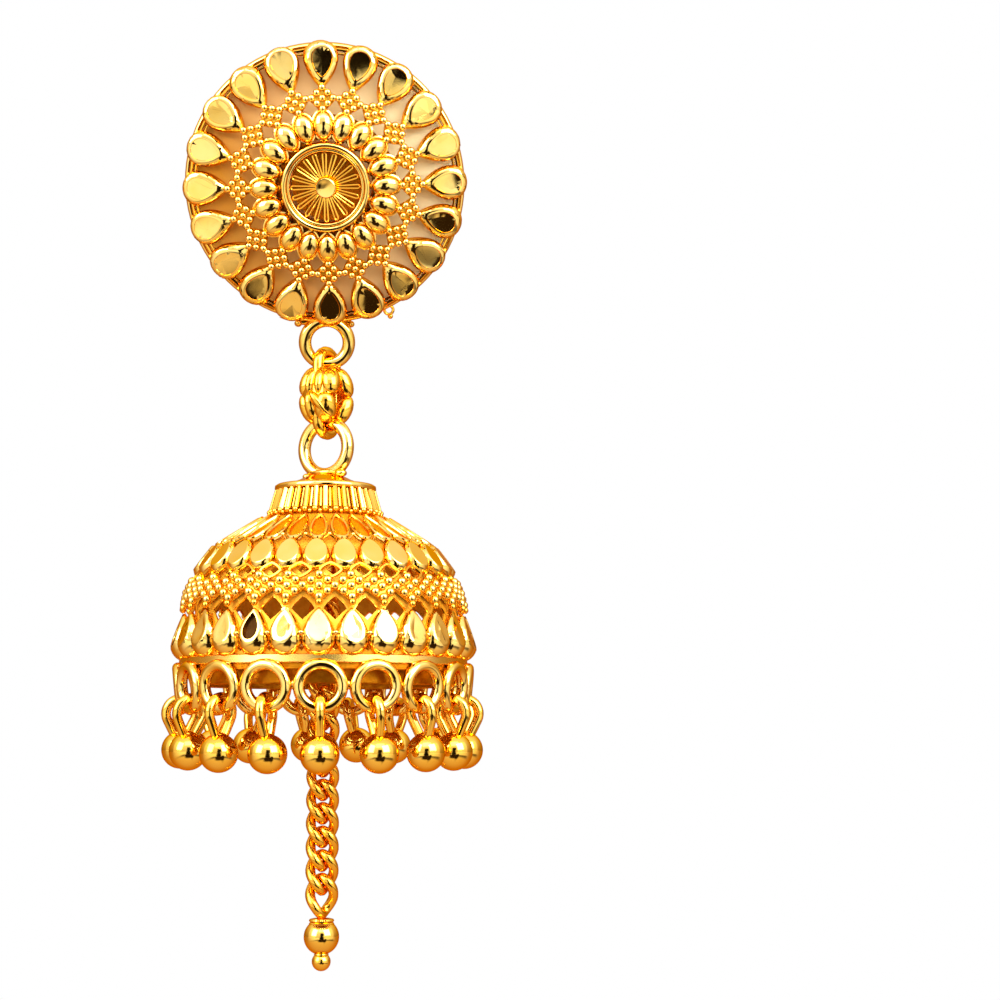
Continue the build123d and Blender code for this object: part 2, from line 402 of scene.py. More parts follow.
# %% Gold finishes
WHITE_GOLD = (0.970, 0.730, 0.260, 1)
PALE_GOLD = (0.960, 0.630, 0.140, 1)
RICH_GOLD = (0.950, 0.560, 0.070, 1)
# the edge colour is a painted reflection: deep orange where the surface is seen at a grazing angle
EDGE_REFLECTION_GOLD = (0.880, 0.370, 0.006, 1)


def gold(name, light, deep, polish, grain, ripple, edge=EDGE_REFLECTION_GOLD, metal=1.0, aside=0.0):
    """A gold finish: two tones, a roughness, the size of its grain in mm and its bump.

    With less metal it is matt. With aside, the deep tone is painted low on the left and the light
    one high on the right, as painted shade and light. Towards grazing angles every tone turns to
    the edge colour, a painted reflection of the gold round about.
    """
    material = bpy.data.materials.new(name)
    recipe = Recipe(material)
    place = recipe.node("TexCoord", out=3)
    cloud = recipe.node("TexNoise", sockets={"Vector": place, "Scale": 0.35 / (grain * MM),
                                             "Detail": 2.0})
    fine = recipe.node("TexNoise", sockets={"Vector": place, "Scale": 1.4 / (grain * MM),
                                            "Detail": 3.0})
    patches = ((cloud - 0.35) * 2.2).clamped()
    # painted light and shade across the part: deep low on the left, light high on the right
    if aside:
        x, _, z = recipe.parts(place)
        painted_side_light = ((x + z * 0.6) / (18 * MM) + 0.5).clamped()
        patches = patches * (1 - aside) + painted_side_light * aside
    tone = recipe.blend(patches, deep, light)
    # painted reflection: the tone turns to the edge colour towards grazing angles
    slope = recipe.node("LayerWeight", sockets={"Blend": 0.5}, out=1)
    tone = recipe.blend(((slope - 0.3) * 1.8).clamped(), tone, edge)
    bump = recipe.node("Bump", sockets={"Height": fine + cloud * 0.8, "Strength": ripple,
                                        "Distance": 0.05 * MM})
    coat = recipe.node("BsdfPrincipled", sockets={
        "Base Color": tone, "Metallic": metal, "Roughness": polish + fine * 0.06,
        "Normal": bump, "Specular IOR Level": 0.5, "Specular Tint": (1.0, 0.62, 0.25, 1),
    })
    recipe.node("OutputMaterial", sockets={"Surface": coat})
    return material


# near-black of painted shade, for the hollow of the broken pear
SHADE_DARKEST = (0.01, 0.004, 0.001, 1)
mirror_gold = gold("mirror_gold", WHITE_GOLD, PALE_GOLD, polish=0.04, grain=0.9, ripple=0.06)
ball_gold = gold("ball_gold", PALE_GOLD, RICH_GOLD, polish=0.06, grain=0.9, ripple=0.05)
satin_gold = gold("satin_gold", WHITE_GOLD, PALE_GOLD, polish=0.24, grain=1.5, ripple=0.05)
wire_gold = gold("wire_gold", RICH_GOLD, (0.92, 0.47, 0.05, 1), polish=0.07, grain=0.5,
                 ripple=0.10)
grain_gold = gold("grain_gold", WHITE_GOLD, PALE_GOLD, polish=0.04, grain=0.3, ripple=0.04)
# painted shade: a darker, warmer tone for the hollows and for the walls behind other parts
shade_painted_gold = gold("shade_painted_gold", (0.60, 0.24, 0.010, 1), (0.38, 0.12, 0.003, 1), polish=0.42,
                 grain=0.25, ripple=0.5)
leaf_gold = gold("leaf_gold", (0.86, 0.55, 0.07, 1), (0.78, 0.43, 0.03, 1), polish=0.3,
                 grain=0.2, ripple=0.6)
# painted shade: a deeper tone for the wall that stands behind the bell's ornaments
wall_gold = gold("wall_gold", (0.82, 0.44, 0.045, 1), (0.64, 0.28, 0.015, 1), polish=0.45,
                 grain=0.25, ripple=0.4, metal=0.6)
# painted light and shade: the plate is painted deep low on the left and light high on the right
plate_gold = gold("plate_gold", (1.0, 0.94, 0.58, 1), (0.80, 0.36, 0.02, 1), polish=0.55,
                  grain=2.5, ripple=0.05, edge=(0.97, 0.70, 0.30, 1), metal=0.2, aside=0.85)
post_gold = gold("post_gold", PALE_GOLD, RICH_GOLD, polish=0.16, grain=0.8, ripple=0.10)
# painted shade: near-black for the inside of the broken pear
painted_shade_inside = gold("painted_shade_inside", (0.05, 0.02, 0.005, 1), SHADE_DARKEST, polish=0.35, grain=0.8,
                   ripple=0.8, edge=(0.10, 0.04, 0.008, 1))
print("gold finishes:", [m.name for m in bpy.data.materials if m.name.endswith("_gold")])

# %% [markdown]
# ## The stud
# The stud is a shallow dome of openwork over a plain back plate. From the rim to the middle
# come twenty pear cells, twenty diamonds of granules, twenty petals, a double bezel and a
# rosette of hairpin wires. Its height follows one curve, so that every row stands on the dome.

# %% The dome, and how many of each part go round it
ROUND = 20
STUD_TURNS = turns(2.6, ROUND)
RIM_RADIUS, PLATE_RADIUS = 11.88, 11.5
DOME_RADIUS, DOME_FOOT, DOME_RISE = 11.9, 1.75, 2.5


def dome(radius):
    """Height of the stud's face above the back of its plate."""
    return DOME_FOOT + DOME_RISE * (1 - (radius / DOME_RADIUS) ** 2)


def dome_tilt(radius):
    """How far the face leans outwards there, in degrees."""
    return degrees(atan2(2 * DOME_RISE * radius / DOME_RADIUS ** 2, 1))


# %% Back plate and rim wall
bm = bmesh.new()
lathe(bm, [(0.0, 0.25), (PLATE_RADIUS, 0.25), (PLATE_RADIUS, 0.5), (0.0, 0.5)], FACE)
stud_plate = finish_piece("stud_plate", bm, "stud", plate_gold)
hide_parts("stud_disc")

bm = bmesh.new()
lathe(bm, [(0.0, 0.02), (PLATE_RADIUS, 0.02), (PLATE_RADIUS, 0.3), (0.0, 0.3)], FACE)
finish_piece("stud_back", bm, "stud", satin_gold)

RIM_LINE = (  # in from the rim, height
    (0.44, 0.0), (0.18, 0.0), (0.06, 0.12), (0.0, 0.4), (0.0, 1.1), (0.04, 1.32), (0.13, 1.46),
    (0.23, 1.5), (0.33, 1.46), (0.4, 1.3), (0.44, 0.5),
)
bm = bmesh.new()
lathe(bm, [(RIM_RADIUS - inward, height) for inward, height in RIM_LINE], FACE)
finish_piece("stud_rim", bm, "stud", mirror_gold)

# %% [markdown]
# A pear cell is a stamped drop whose top is cut flat and dished by hand, so each one catches
# the light in its own way. Its walls widen down to the plate, and its round end makes the
# scalloped edge of the disc.

# %% Pear cells
PEAR_RADIUS, PEAR_WIDTH, PEAR_LENGTH, PEAR_POINT = 10.03, 2.96, 4.15, 0.9
bm = bmesh.new()
hand = random.Random(1105)
for turn in STUD_TURNS:
    cell = pear_drop(PEAR_WIDTH, PEAR_LENGTH, PEAR_POINT, 1.05, 0.66, below=1.7, lip=0.2,
                     rim=0.03, sink=0.05, dish=0.04, crook=5.0, draw=hand)
    seat = stud_seat(turn, PEAR_RADIUS, dome(PEAR_RADIUS) - 0.4, dome_tilt(PEAR_RADIUS) * 0.7)
    stamp(bm, cell, seat @ turned(180, "Z"))
finish_piece("stud_pear_cells", bm, "stud", mirror_gold, sharp=50.0)

# %% [markdown]
# The granules stand in diamonds of nine, point to point, on thin wires. There are 180 of
# them on the stud, so a granule is a small ball of few faces.

# %% Diamonds of granules
DIAMOND_RADIUS = 7.36
STUD_DIAMOND = (0.46, 0.45, 0.315)  # half a step across, half a step along, granule


def diamond(across, along, bead, corners=True):
    """Nine granules in a diamond."""
    patch = bmesh.new()
    for a in (-1, 0, 1):
        for b in (-1, 0, 1):
            if corners or (a, b) != (1, -1):
                granule(patch, bead, moved((a - b) * across, (a + b) * along, 0))
    return taken(patch)


def diamond_plate(across, along, bead):
    """The small plate of sheet that carries a diamond of granules."""
    patch = bmesh.new()
    shape = Matrix.Diagonal((2 * across + bead, 2 * along + bead, 1, 1))
    bmesh.ops.create_cone(patch, cap_ends=True, segments=4, radius1=1.0, radius2=0.9,
                          depth=0.3, matrix=moved(0, 0, -0.15 - 0.4 * bead) @ shape)
    return taken(patch)


def ring_of_diamonds(name, mesh, material):
    """Twenty copies of a diamond on the dome."""
    bm = bmesh.new()
    for turn in STUD_TURNS:
        stamp(bm, mesh, stud_seat(turn, DIAMOND_RADIUS, dome(DIAMOND_RADIUS) - 0.1,
                                  dome_tilt(DIAMOND_RADIUS)))
    return finish_piece(name, bm, "stud", material)


ring_of_diamonds("stud_granules", diamond(*STUD_DIAMOND), grain_gold)
ring_of_diamonds("stud_diamond_plates", diamond_plate(*STUD_DIAMOND), leaf_gold)

# %% [markdown]
# The petals are polished domes, each in a thin wire, and they lean on the bezel.

# %% Petals
PETAL_RADIUS, PETAL_WIDTH, PETAL_LENGTH = 5.12, 1.64, 2.34
bm = bmesh.new()
petal_wire = pear_wire(PETAL_WIDTH + 0.1, PETAL_LENGTH + 0.2, 0.2, 0.13, steps=28)
petal = bmesh.new()
pear_body(petal, PETAL_WIDTH, PETAL_LENGTH, 0.18, 0.62, 0.62, around=20, rows=14)
petal = taken(petal)
for turn in STUD_TURNS:
    seat = stud_seat(turn, PETAL_RADIUS, dome(PETAL_RADIUS) - 0.1,
                     dome_tilt(PETAL_RADIUS)) @ turned(180, "Z")
    stamp(bm, petal, seat)
    stamp(bm, petal_wire, seat @ moved(0, -0.05, -0.32))
finish_piece("stud_petals", bm, "stud", mirror_gold)

# %% [markdown]
# The middle is a small wheel: a double bezel, a sunken floor, twenty hairpins of wire and a
# flat boss. The floor is left matt, because no polishing wheel reaches it, and its darker tone
# is painted shade.

# %% Bezel and boss
bm = bmesh.new()
ring(bm, 3.5, 0.23, FACE @ moved(0, 0, 4.22), sides=12)
ring(bm, 3.14, 0.14, FACE @ moved(0, 0, 4.12), sides=12)
lathe(bm, [(3.78, 2.6), (3.72, 4.1), (3.4, 4.12), (3.05, 4.02), (3.0, 2.8)], FACE)
boss_place = FACE @ moved(0, 0, 4.36) @ turned(-15, "Y") @ turned(6, "X")
lathe(bm, [(0.0, 0.0), (0.5, 0.03), (0.68, 0.08), (0.8, 0.08), (0.89, 0.0), (0.92, -0.2),
           (0.95, -1.3), (0.0, -1.3)], boss_place, steps=40)
finish_piece("stud_bezel", bm, "stud", mirror_gold)

# %% Hairpin spokes
bm = bmesh.new()
hairpin = wire([(-0.09, 0.85, 0), (-0.155, 2.70, 0), (-0.11, 2.84, 0), (0, 2.91, 0),
                (0.11, 2.84, 0), (0.155, 2.70, 0), (0.09, 0.85, 0)], 0.085, closed=False)
for turn in STUD_TURNS:
    stamp(bm, hairpin, FACE @ turned(turn, "Z") @ moved(0, 0, 3.66))
finish_piece("stud_spokes", bm, "stud", wire_gold)

# %% Sunken floors under the spokes and the petals
# the sunken floors' darker tone is painted shade
bm = bmesh.new()
lathe(bm, [(0.0, 2.95), (3.1, 2.95), (3.1, 2.5), (0.0, 2.5)], STUD, steps=64)
lathe(bm, [(3.7, 3.0), (5.6, 2.8), (5.75, 2.6), (5.6, 2.3), (3.7, 2.4)], STUD, steps=80)
finish_piece("stud_floor", bm, "stud", shade_painted_gold)

# %% [markdown]
# Between two pears a pair of short bars closes the rim, like the steps of a tiny ladder. A
# small stray loop with a granule sits on the rim at the lower right.

# %% Rim ladders
bm = bmesh.new()
for turn in STUD_TURNS:
    seat = stud_seat(turn + 180 / ROUND, 11.2, 1.72, 8.0)
    for shift, half, thick in ((0.12, 0.55, 0.13), (-0.22, 0.42, 0.1)):
        rod(bm, seat @ Vector((-half, shift, 0.1)), seat @ Vector((half, shift, 0.1)), thick)
    for side in (-1, 1):
        rod(bm, seat @ Vector((side * 0.5, 0.2, 0.1)), seat @ Vector((side * 0.42, -0.55, 0.1)),
            0.12)
stray = stud_seat(-152.5, 12.05, 1.0)
ring(bm, 0.38, 0.13, stray, steps=24, sides=8)
granule(bm, 0.24, stray @ moved(0.12, 0.55, 0.05))
finish_piece("stud_ladders", bm, "stud", wire_gold)

# %% [markdown]
# ## Ring, solder bar and post
# A plain ring of thick wire is soldered under the disc, in its plane, on a short bar. The ear
# post is the CAD model's own, in a plainer gold.

# %% Hanger ring
HANGER_RADIUS, HANGER_WIRE, HANGER_DROP, HANGER_HEIGHT = 1.9, 0.55, 13.9, 1.0
bm = bmesh.new()
ring(bm, HANGER_RADIUS, HANGER_WIRE, STUD @ moved(0, -HANGER_DROP, HANGER_HEIGHT), sides=20)
bar = [STUD @ Vector((side * 2.3 - 0.2, -12.2, 0.5)) for side in (-1, 1)]
rod(bm, bar[0], bar[1], 0.3, sides=12)
for end, size in zip(bar, ((0.34, 0.55, 0.3), (0.28, 0.42, 0.28))):
    ball(bm, size, Matrix.Translation(end + Vector((0, 0, -0.15))))
finish_piece("hanger_ring", bm, "stud", mirror_gold)

# %% Ear post
post = frame["nodes"]["ear_post"]
post.data.materials.clear()
post.data.materials.append(post_gold)

# %% [markdown]
# ## The link
# The link is a bead in two lobed halves with an eye of wire above and a foot below. It is
# hollow along one line, so both rings run through it. Each half has four lobes above its
# waist and three below, and one small leaf lies across the lower lobes.

# %% Link
LINK_WIRE, LIMB = 0.48, 1.32
EYE_OVER_HANG, FOOT_UNDER = 1.06, 0.09
link_way = frame_of(limb_way, Vector((0, 0, 1)), slot_way, Vector((0, hang.y, 0)))
wire_top = hang.z + EYE_OVER_HANG - LIMB
wire_foot = foot.z - FOOT_UNDER + LIMB
arc = [radians(angle) for angle in range(0, 181, 12)]
loop = [(LIMB * cos(a), wire_top + LIMB * sin(a), 0) for a in arc]
loop += [(-LIMB * cos(a), wire_foot - LIMB * sin(a), 0) for a in arc]
bm = bmesh.new()
stamp(bm, wire(loop, LINK_WIRE, roundness=4), link_way)
groove = (hang.z + foot.z) / 2 + 0.22
upper = ((-44, 0.72), (-12, 0.5), (14, 0.5), (47, 0.88))  # turn from the limb, half width
lower = ((-46, 0.66), (-14, 0.62), (31, 1.0))
for side in (0.0, 180.0):
    core = link_way @ turned(side, "Y") @ moved(1.5, groove, 0)
    ball(bm, (0.5, 2.3, 1.4), core, around=24, rows=14)
    for half, row in ((1, upper), (-1, lower)):
        for turn, width in row:
            place = (link_way @ turned(side + turn, "Y") @ moved(1.5, groove + half * 1.2, 0)
                     @ turned(half * 24, "Z"))
            ball(bm, (0.78, 1.4, width), place, around=20, rows=14)
leaf_place = (link_way @ turned(200, "Y") @ moved(1.72, groove - 1.0, 0) @ turned(-20, "Z")
              @ turned(38, "X"))
ball(bm, (0.7, 1.5, 0.45), leaf_place, around=20, rows=14)
link = finish_piece("connector_bead", bm, "connector", wire_gold)
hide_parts("connector_link")

# %% [markdown]
# ## The bell
# The bell's wall is an openwork of 28 columns. From the top come a leaf, a drop with a flat
# cut, a diamond of granules and a tall pear, all soldered point to point. One line gives the
# radius and the slope at each height, and each part is seated on it.

# %% The line of the bell's wall
COLUMNS = 28
COLUMN_STEP = 360 / COLUMNS
COLUMN_TURN = -2.2
COLUMN_TURNS = turns(COLUMN_TURN, COLUMNS)
CROWN_TURNS = turns(-4.0, COLUMNS)  # the leaves and the flat drops stand a little aside
BELL_MIDDLE = moved(0, hang.y, 0)
BELL_LINE = (  # height, radius
    (-28.45, 4.8), (-29.3, 6.8), (-30.35, 8.45), (-31.4, 9.8), (-32.4, 10.7), (-33.5, 11.3),
    (-34.5, 11.7), (-35.6, 12.1), (-36.6, 12.3), (-37.6, 12.55), (-38.7, 12.9), (-39.7, 13.05),
    (-40.8, 12.8),
)


def bell_radius(height):
    """Radius of the wall at a height."""
    for (top, wide_top), (low, wide_low) in zip(BELL_LINE, BELL_LINE[1:]):
        if height >= low:
            share = (top - height) / (top - low)
            return wide_top + (wide_low - wide_top) * share
    return BELL_LINE[-1][1]


def wall_seat(turn, height, out=0.0):
    """A place on the wall at a height, seated on its slope."""
    reach = 0.6
    tilt = degrees(atan2(bell_radius(height - reach) - bell_radius(height + reach), 2 * reach))
    return bell_seat(turn, bell_radius(height), height, tilt) @ moved(0, 0, out)


# %% Cap
bm = bmesh.new()
lathe(bm, [(0.0, -24.85), (1.1, -24.92), (1.7, -25.12), (2.3, -25.42), (3.0, -25.68),
           (3.7, -25.84), (4.15, -25.84), (4.36, -25.98), (4.38, -26.22), (4.25, -26.4),
           (4.05, -26.45), (3.6, -26.45), (2.4, -26.2), (0.0, -25.7)], BELL_MIDDLE)
bell_cap = finish_piece("bell_cap", bm, "bell", mirror_gold, sharp=60.0)
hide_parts("bell")

# %% [markdown]
# The collar is fluted with round wires, a thick and a thin one by turns, and each thick wire
# stands on a granule.

# %% Collar
FLUTES = 34
bm = bmesh.new()
for turn in turns(0, FLUTES):
    thick = [bell_seat(turn, radius, height).translation
             for radius, height in ((4.16, -26.4), (4.68, -28.2))]
    rod(bm, thick[0], thick[1], 0.21)
    between = turn + 180 / FLUTES
    thin = [bell_seat(between, radius, height).translation
            for radius, height in ((4.06, -26.4), (4.58, -28.1))]
    rod(bm, thin[0], thin[1], 0.09, sides=6)
    granule(bm, 0.25, bell_seat(turn, 4.8, -28.32))
    granule(bm, 0.17, bell_seat(between, 4.85, -28.5))
    granule(bm, 0.15, bell_seat(turn, 4.25, -26.52))
finish_piece("collar_wires", bm, "bell", ball_gold)

# the collar wall's darker tone is painted shade between the flutes
bm = bmesh.new()
lathe(bm, [(4.0, -26.4), (4.5, -28.3), (4.75, -28.5), (4.4, -28.7), (4.1, -28.4),
           (3.6, -26.5)], BELL_MIDDLE)
finish_piece("collar_wall", bm, "bell", shade_painted_gold)

# %% Ring of the bell and its solder
BELL_RING_RADIUS, BELL_RING_WIRE, RING_OVER_FOOT = 2.27, 0.55, 0.96
ring_middle = Vector((0, hang.y, foot.z + RING_OVER_FOOT - BELL_RING_RADIUS))
ring_frame = frame_of(slot_way, Vector((0, 0, 1)), limb_way * -1, ring_middle)
bm = bmesh.new()
ring(bm, BELL_RING_RADIUS, BELL_RING_WIRE, ring_frame, sides=20)
ball(bm, (1.7, 0.3, 0.95), ring_frame @ moved(0, -2.15, 0))
ball(bm, (0.55, 0.34, 0.5), ring_frame @ moved(1.75, -2.3, 0.25))
ball(bm, (0.4, 0.3, 0.4), ring_frame @ moved(-1.9, -2.4, 0.1))
ring(bm, 0.9, 0.32, moved(0, hang.y, -26.65) @ turned(90, "X"), steps=32)
finish_piece("bell_ring", bm, "bell", mirror_gold)

# %% [markdown]
# Behind the ornaments stands a thin wall of sheet, matt, its deeper tone painted shade, and
# pierced with three rows of diamond openings. A bevel on the vertex in the middle of each
# opening draws its diamond, and the diamond's face is taken away.

# %% Pierced wall
OPENINGS = {-33.95: 0.62, -37.1: 1.02, -40.1: 0.5}  # height, half a diagonal
wall_line = [(bell_radius(height) - 0.9, height) for height in
             (-28.45, -29.0, -29.8, -30.8, -32.0, -33.0, -33.95, -34.9, -36.0, -37.1, -38.2,
              -39.2, -40.1, -41.0)]
bm = bmesh.new()
corners = [bm.verts.new((radius, 0, height)) for radius, height in wall_line]
for pair in zip(corners, corners[1:]):
    bm.edges.new(pair)
spin_round(bm, 2 * COLUMNS)
for height, half in OPENINGS.items():
    row = [vert for vert in bm.verts if abs(vert.co.z - height) < 0.01]
    odd = [vert for vert in row
           if round(degrees(atan2(vert.co.y, vert.co.x)) / (COLUMN_STEP / 2)) % 2]
    cut = bmesh.ops.bevel(bm, geom=odd, offset=half, segments=1, profile=0.5,
                          affect="VERTICES", material=-1)["faces"]
    bmesh.ops.delete(bm, geom=cut, context="FACES")
bmesh.ops.solidify(bm, geom=bm.faces[:], thickness=0.2)
bmesh.ops.transform(bm, matrix=BELL_MIDDLE @ turned(COLUMN_TURN - 90, "Z"), verts=bm.verts)
finish_piece("bell_wall", bm, "bell", wall_gold)

# %% [markdown]
# A leaf is a matt hollow in a bright wire, narrow at the collar and round below.

# %% Leaves
LEAF_HEIGHT = -29.85
bm = bmesh.new()
leaf_wire = pear_wire(1.3, 4.2, 0.6, 0.15, steps=32)
for turn in CROWN_TURNS:
    stamp(bm, leaf_wire, wall_seat(turn, LEAF_HEIGHT, -0.25))
    nub = wall_seat(turn + COLUMN_STEP / 2, -30.7, -0.2)
    granule(bm, 0.17, nub)
    for side in (-1, 1):
        rod(bm, nub @ Vector((0, 0, -0.05)), nub @ Vector((side * 0.55, -0.75, -0.05)), 0.1,
            sides=6)
finish_piece("bell_leaf_wires", bm, "bell", mirror_gold)

bm = bmesh.new()
leaf = bmesh.new()
pear_body(leaf, 1.24, 4.1, 0.6, 0.08, 0.12, around=20, rows=12)
leaf = taken(leaf)
for turn in CROWN_TURNS:
    stamp(bm, leaf, wall_seat(turn, LEAF_HEIGHT, -0.38))
finish_piece("bell_leaves", bm, "bell", leaf_gold)

# %% [markdown]
# The flat drops form a bright belt. The cut faces the sky a little more than the wall does,
# so the drop keeps a round chin below it.

# %% Flat drops
DROP_HEIGHT = -32.25
bm = bmesh.new()
flat_drop = pear_drop(2.24, 3.2, 0.35, 1.1, 0.64, tilt=5.0, below=0.5)
for turn in CROWN_TURNS:
    stamp(bm, flat_drop, wall_seat(turn, DROP_HEIGHT, -0.72) @ turned(6, "X"))
finish_piece("bell_flat_drops", bm, "bell", mirror_gold, sharp=50.0)

# %% [markdown]
# Below them runs the belt of granules, again diamonds of nine, larger than on the stud. A
# diamond shares its corner granules with its neighbours. Wires frame the small windows above
# the belt and the five-sided ones below it.

# %% Belt of granules
BELT_HEIGHT, BELT_ACROSS, BELT_ALONG = -35.2, 0.672, 0.48
bm = bmesh.new()
plates = bmesh.new()
bell_diamond = diamond(BELT_ACROSS, BELT_ALONG, 0.385, corners=False)
bell_diamond_plate = diamond_plate(BELT_ACROSS, BELT_ALONG, 0.3)
for turn in COLUMN_TURNS:
    seat = wall_seat(turn, BELT_HEIGHT, -0.3)
    stamp(bm, bell_diamond, seat)
    stamp(plates, bell_diamond_plate, seat)
finish_piece("bell_granules", bm, "bell", grain_gold)
finish_piece("bell_diamond_plates", plates, "bell", leaf_gold)

# %% Window wires
bm = bmesh.new()
small_window = lozenge(1.75, 1.3, 0.15)
tall_window = lozenge(2.1, 2.4, 0.1)
for turn, crown_turn in zip(COLUMN_TURNS, CROWN_TURNS):
    between = turn + COLUMN_STEP / 2
    stamp(bm, small_window, wall_seat(crown_turn + COLUMN_STEP / 2, -33.85, -0.45))
    stamp(bm, tall_window, wall_seat(between, -37.1, -1.0))
    window_foot = wall_seat(between, -39.0, -0.6).translation
    ball(bm, 0.3, wall_seat(between + COLUMN_STEP / 2, -36.6, -0.22), around=10, rows=8)
    for side in (-1, 1):
        band_point = wall_seat(between + side * 0.3 * COLUMN_STEP, -40.8, -0.4).translation
        rod(bm, window_foot, band_point, 0.13)
finish_piece("bell_windows", bm, "bell", wire_gold)

# %% [markdown]
# The tall pears stand on the band. Their cut takes the upper two thirds and leaves a full
# chin. The sheet of one of them is broken open, and a near-black lens of painted shade sits in
# its sunk cut.

# %% Tall pears
PEAR_HEIGHT, PEAR_TILT = -38.85, 19.0
BROKEN = 26  # the column of the pear whose sheet is broken
bm = bmesh.new()
hand = random.Random(8)
for number, turn in enumerate(COLUMN_TURNS):
    tall_pear = pear_drop(2.78, 3.95, 0.7, 1.3, 0.86, tilt=PEAR_TILT, below=0.4, lip=0.14,
                          rim=0.1 if number == BROKEN else 0.0, sink=0.5,
                          dish=0.0 if number == BROKEN else 0.05, crook=1.5, draw=hand)
    seat = wall_seat(turn, PEAR_HEIGHT, -1.04) @ turned(12, "X")
    stamp(bm, tall_pear, seat)
    ball(bm, (0.3, 0.22, 0.3), wall_seat(turn + COLUMN_STEP / 2, PEAR_HEIGHT - 0.2, -0.55),
         around=10, rows=8)
    if number == BROKEN:
        broken_seat = seat
finish_piece("bell_tall_pears", bm, "bell", mirror_gold, sharp=50.0)

# painted shade: a near-black lens inside the broken pear's sunk cut
bm = bmesh.new()
pear_body(bm, 2.0, 3.0, 0.7, 0.1, 0.1)
bmesh.ops.transform(bm, matrix=broken_seat @ turned(-PEAR_TILT, "X") @ moved(0, 0.3, 0.46),
                    verts=bm.verts)
finish_piece("broken_pear_shade", bm, "bell", painted_shade_inside)

# %% Band
bm = bmesh.new()
lathe(bm, [(12.2, -40.82), (12.28, -40.88), (12.3, -41.46), (12.22, -41.54), (11.9, -41.54),
           (11.82, -41.46), (11.82, -40.88), (11.9, -40.82)], BELL_MIDDLE, steps=112)
finish_piece("bell_band", bm, "bell", satin_gold)

# %% [markdown]
# ## Rim rings and ball drops
# Seventeen rings stand side by side on the band, with a nub of solder between neighbours.
# They lean a little, with their tops in front of the band, and a matt lining stands behind
# them; its darker tone is painted shade. In each hangs a loop of wire with a ball soldered to
# its legs, and no two loops hang quite alike.

# %% Rim rings
DROPS = 17
DROP_TURNS = turns(-1.2, DROPS)
RING_CIRCLE, RING_RADIUS, RING_WIRE, RING_HEIGHT, RING_LEAN = 12.2, 1.75, 0.48, -43.4, 6.0
bm = bmesh.new()
for turn in DROP_TURNS:
    ring(bm, RING_RADIUS, RING_WIRE, bell_seat(turn, RING_CIRCLE, RING_HEIGHT)
         @ turned(RING_LEAN, "X"), steps=44)
    between = turn + 180 / DROPS
    ball(bm, (0.26, 0.4, 0.26), bell_seat(between, RING_CIRCLE - 0.15, RING_HEIGHT + 0.1),
         around=10, rows=8)
    for side in (-1, 1):
        ball(bm, (0.34, 0.2, 0.3), bell_seat(turn + side * 4.4, RING_CIRCLE + 0.1,
                                             RING_HEIGHT + 1.85), around=10, rows=8)
finish_piece("rim_rings", bm, "bell", mirror_gold)

# the lining's darker tone is painted shade behind the rings
bm = bmesh.new()
lathe(bm, [(11.8, -41.5), (12.0, -41.52), (12.0, -42.0), (11.9, -42.1), (11.8, -42.1),
           (11.7, -42.0)], BELL_MIDDLE, steps=112)
lathe(bm, [(11.2, -40.8), (11.3, -41.2), (11.15, -43.1), (11.05, -43.2), (10.95, -43.1),
           (11.0, -40.9)], BELL_MIDDLE, steps=112)
finish_piece("band_skirt", bm, "bell", shade_painted_gold)

# %% Ball drops
DROP_CIRCLE, LOOP_RADIUS, LOOP_WIRE, BALL_RADIUS, BALL_HEIGHT = 12.05, 1.25, 0.41, 1.6, -48.85
PUSHED = {7: 5.0, 8: -12.0, 9: -13.0}  # degrees by which three drops hang pushed aside
SWAY, BACK_LIFT, LOOP_LEG = 9.5, 0.3, 0.85
ring_foot = RING_CIRCLE - RING_RADIUS * sin(radians(RING_LEAN))
reach = LOOP_RADIUS - LOOP_WIRE - RING_WIRE - 0.02
loop_middle = RING_HEIGHT - RING_RADIUS - sqrt(reach ** 2 - (ring_foot - DROP_CIRCLE) ** 2)
loop_drop = loop_middle - BALL_HEIGHT - 0.55
lean = asin(LOOP_RADIUS / loop_drop)
sweep = [-lean + (pi + 2 * lean) * step / 20 for step in range(21)]
path = [(LOOP_LEG * sin(lean), LOOP_LEG * cos(lean) - loop_drop, 0)]
path += [(LOOP_RADIUS * cos(a), LOOP_RADIUS * sin(a), 0) for a in sweep]
path += [(-path[0][0], path[0][1], 0)]
drop_loop = wire(path, LOOP_WIRE, closed=False, roundness=4)
hand = random.Random(12)
for number, turn in enumerate(DROP_TURNS):
    swing = PUSHED.get(number, SWAY * sin(radians(turn) * 2.2)) + hand.uniform(-1.0, 1.0)
    top = bell_seat(turn, DROP_CIRCLE, loop_middle) @ turned(swing, "Z")
    lift = BACK_LIFT * (1 - cos(radians(turn)))
    down = top @ moved(0, BALL_HEIGHT + lift - loop_middle, 0)
    bm = bmesh.new()
    stamp(bm, drop_loop, top @ turned(90, "Y"))
    ball(bm, BALL_RADIUS, down, around=40, rows=28)
    ball(bm, (0.5, 0.62, 0.16), down @ moved(0, 1.52, 0) @ turned(90, "X"), around=16, rows=8)
    node = f"ball_drop_{number + 1:02d}"
    drop = finish_piece(node + "_gold", bm, "bell", ball_gold)
    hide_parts(node)

# %% [markdown]
# ## The chain
# A curb chain: each link is an oval that is twisted as it goes down, so that its foot crosses
# the head of the next one and the chain lies flat.

